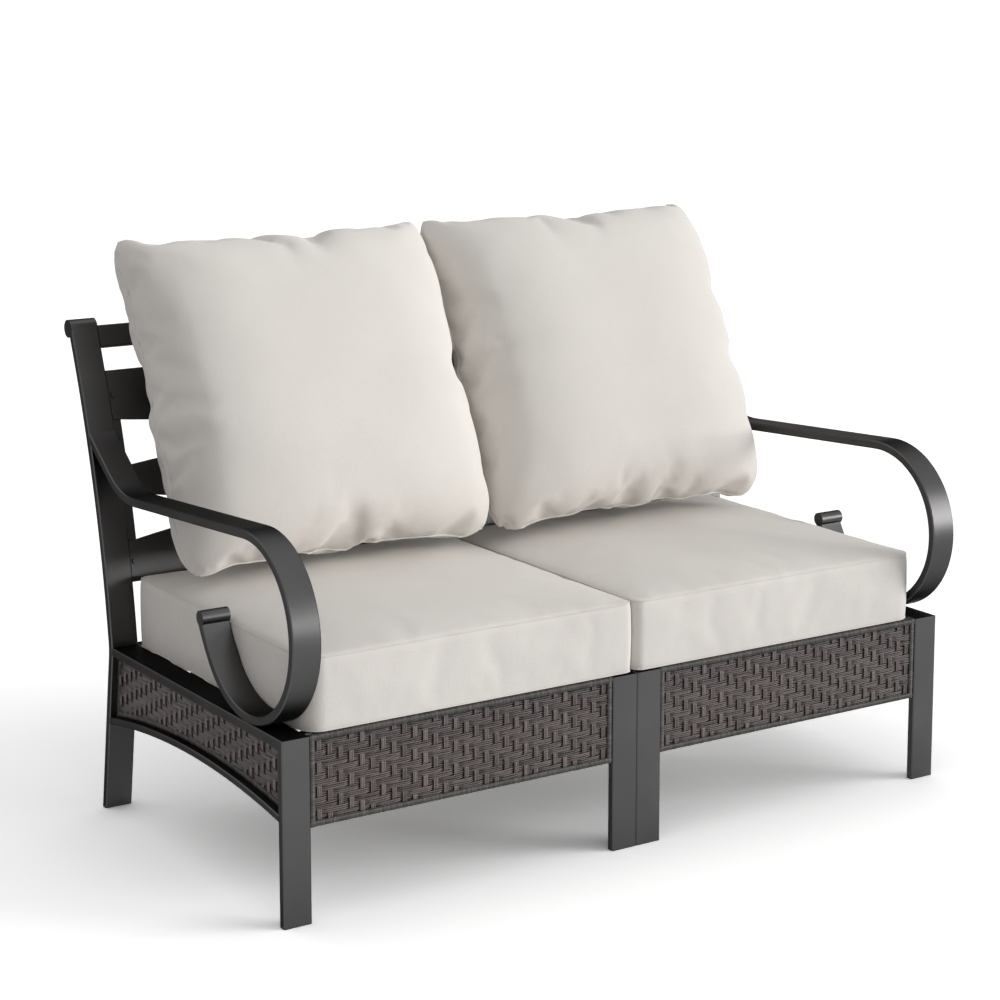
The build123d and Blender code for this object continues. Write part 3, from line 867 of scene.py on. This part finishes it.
def back_pillow(side):
    """Knife-edged pillow: two full panels that meet in a piped seam, with rounded ears."""
    out = sides[side]
    middle = Vector((out * pillow_middle[0], pillow_middle[1], pillow_middle[2]))
    half_x, half_z = pillow_size[0] / 2, pillow_size[1] / 2
    upward = Vector((0, math.sin(pillow_lean), math.cos(pillow_lean)))
    ahead = Vector((0, -math.cos(pillow_lean), math.sin(pillow_lean)))
    seed = pillow_seeds[side]
    shares = even_shares(pillow_grid, lambda s: fullness(s) * pillow_front / half_x)
    shell = Shell()
    index = shell.index

    def outline(u, v):
        """Place a point of the unit square in the pillow's plan, its sides drawn in."""
        ear = pillow_ear if v > 0 else pillow_foot_ear
        x, z = rounded_square(half_x * u, half_z * v, half_x, half_z, ear)
        wave = noise.noise(Vector((x * pillow_wave_scale + seed, z * pillow_wave_scale, 4.0)))
        across = pillow_draw_across + pillow_wave_across * wave
        if u * out < 0:
            across *= pillow_inner_draw
        power = pillow_draw_power if v > 0 else pillow_foot_draw_power
        drawn_x = 1 - across * (1 - abs(v) ** power)
        drawn_z = 1 - (pillow_draw_up + pillow_wave_up * wave) * (1 - abs(u) ** power)
        return x * drawn_x, z * drawn_z

    for face_side, bulge in ((1, pillow_front), (-1, pillow_back)):
        for j, v in enumerate(shares):
            for i, u in enumerate(shares):
                border = i in (0, pillow_grid) or j in (0, pillow_grid)
                if border and face_side < 0:
                    index[-1, i, j] = index[1, i, j]
                    continue
                x, z = outline(u, v)
                plump = fullness(u) * fullness(v)
                spot = Vector((x * pillow_flutter_scale + seed, z * pillow_flutter_scale, 9.0))
                lift = face_side * bulge * plump
                flutter = pillow_flutter * noise.noise(spot) * (1 - plump)
                near = min(half_x * (1 - abs(u)), half_z * (1 - abs(v)))
                fading = math.exp(-(near / pillow_fold_reach) ** 2)
                fold = pillow_folds[0] + pillow_folds[1] * fading
                place = middle + X * x + upward * z + ahead * (lift + flutter)
                index[face_side, i, j] = shell.point(place, fold)
        shell.panel(face_side, pillow_grid, turned=face_side < 0)
    body = side + "_pillow"
    piece = shell.piece(side + "_back_pillow_cover", body)
    seam = [index[1, i, j] for i, j in rim(pillow_grid)]
    seam_group(piece, seam)
    stuffed(
        piece, pressure=2.5, slack=0.045, spread=150, wide_share=0.15, folds=shell.folds, cap=0.014
    )
    confined(piece, out, pillow_limits, lambda x, y: pillow_floor)
    finish_soft(piece, side + "_back_pillow")
    line = [piece.data.vertices[i].co.copy() for i in seam]
    welt(side + "_pillow_welt", line, body, welt_radius)


# Frame finish
for name, node in nodes.items():
    finish = plastic if name.endswith(("foot_glides", "joining_clips")) else metal
    node.data.materials.clear()
    node.data.materials.append(finish)
    if name.endswith("slat_bolts"):
        rounding = node.modifiers.new("Rounding", "BEVEL")
        rounding.width = 0.0012
        rounding.segments = 3

for side in sides:
    woven_apron(side)
    woven_side(side)
    seat_cushion(side)
    back_pillow(side)


# Floor, light and camera

def floor_material():
    """Pale floor: white to the camera and in reflections, with the object's soft shadow."""
    finish = Finish("floor")
    rays = finish.node("ShaderNodeLightPath").outputs
    seen = finish.worked("MAXIMUM", rays["Is Camera Ray"], rays["Is Glossy Ray"])
    return finish.shaded({
        "Base Color": finish.mixed(seen, (0.62, 0.62, 0.63), (1.6, 1.6, 1.6)),
        "Roughness": 1.0,
        "Specular IOR Level": 0.0,
    })


floor_half = 60
floor_corners = [(-1, -1), (1, -1), (1, 1), (-1, 1)]
floor_mesh = bpy.data.meshes.new("floor")
floor_mesh.from_pydata(
    [(x * floor_half, y * floor_half, 0) for x, y in floor_corners], [], [(0, 1, 2, 3)]
)
floor_mesh.materials.append(floor_material())
floor = bpy.data.objects.new("floor", floor_mesh)
bpy.context.scene.collection.objects.link(floor)

# The world lights the object at less than it shows to the camera and in reflections
world_light = 0.45
world_shown = 1.0
world = bpy.data.worlds.new("studio")
world.use_nodes = True
bpy.context.scene.world = world
studio = Wiring(world.node_tree)
rays = studio.node("ShaderNodeLightPath").outputs
seen = studio.worked("MAXIMUM", rays["Is Camera Ray"], rays["Is Transmission Ray"])
shiny = studio.worked("MAXIMUM", seen, rays["Is Glossy Ray"])
background = world.node_tree.nodes["Background"]
studio.feed(background.inputs["Color"], (1, 1, 1, 1))
strength = studio.ranged(shiny, (0, 1), (world_light, world_shown))
studio.feed(background.inputs["Strength"], strength)


def distant_light(name, direction, spread, strength):
    """A soft distant lamp that shines from a direction."""
    lamp = bpy.data.lights.new(name, "SUN")
    lamp.angle = math.radians(spread)
    lamp.energy = strength
    light = bpy.data.objects.new(name, lamp)
    light.rotation_euler = Vector(direction).to_track_quat("Z", "Y").to_euler()
    bpy.context.scene.collection.objects.link(light)


distant_light("key", direction=(0.80, -0.54, 0.19), spread=32, strength=2.08)
distant_light("overhead", direction=(0.1, 0.1, 1.0), spread=100, strength=0.45)
distant_light("front", direction=(0.60, -0.80, 0.07), spread=24, strength=0.72)

# Camera: place, turn to the right, pitch down, focal length in pixels, shift of the frame
camera_place = (-2.3981, -3.6184, 1.4940)
camera_turn = math.radians(33.195)
camera_pitch = math.radians(8.986)
focal_pixels = 2463.5
image_pixels = 1000
camera_shift = -0.15
camera_data = bpy.data.cameras.new("camera")
camera_data.sensor_width = 36
camera_data.lens = focal_pixels / image_pixels * camera_data.sensor_width
camera_data.shift_y = camera_shift
camera_data.clip_end = 200
camera = bpy.data.objects.new("camera", camera_data)
camera.location = camera_place
camera.rotation_euler = (math.pi / 2 - camera_pitch, 0, -camera_turn)
bpy.context.scene.collection.objects.link(camera)
bpy.context.scene.camera = camera
bpy.context.scene.view_settings.view_transform = "Standard"
